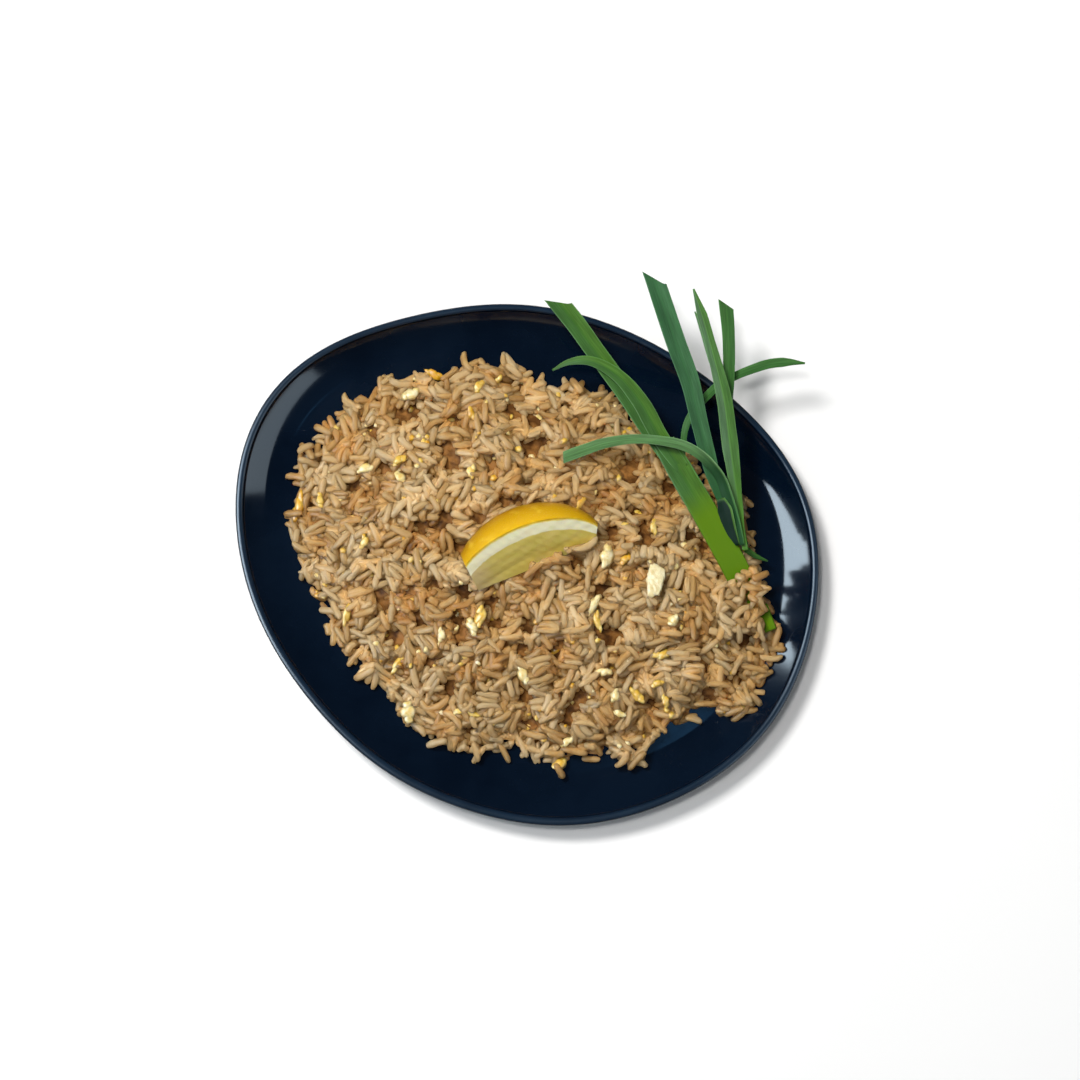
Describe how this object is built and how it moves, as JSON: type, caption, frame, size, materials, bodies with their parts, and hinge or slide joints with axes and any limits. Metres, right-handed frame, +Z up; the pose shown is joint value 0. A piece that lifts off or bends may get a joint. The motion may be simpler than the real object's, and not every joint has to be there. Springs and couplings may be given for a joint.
{
  "type": "fried rice plate",
  "caption": "Pebble-shaped coupe plate heaped with fried rice and egg, topped with a lemon wedge and a fan of flat chives.",
  "frame": {"origin": "on the surface that the plate stands on, under the middle of the whole's bounding box", "axes": "+Z up; +X along the width seen from above with the chives at the upper right; +Y towards the chives' tips"},
  "size_m": [0.2458, 0.2314, 0.0526],
  "materials": {
    "glaze": "glossy dark navy glaze",
    "rice": "moist, lightly oiled fried rice",
    "lemon": "waxy yellow peel, wet flesh",
    "egg": "soft fried egg",
    "chive_stem": "smooth bright green sheath",
    "chive_leaf": "satin green leaf"
  },
  "bodies": {
    "root": {"plate": "glaze", "rice": "rice", "lemon_wedge": "lemon", "egg_flake": "egg", "chive_stem": "chive_stem", "chive_leaf_tall": "chive_leaf", "chive_leaf_split": "chive_leaf", "chive_leaf_back": "chive_leaf", "chive_leaf_side": "chive_leaf", "chive_leaf_arch": "chive_leaf", "chive_leaf_short": "chive_leaf"}
  },
  "joints": []
}
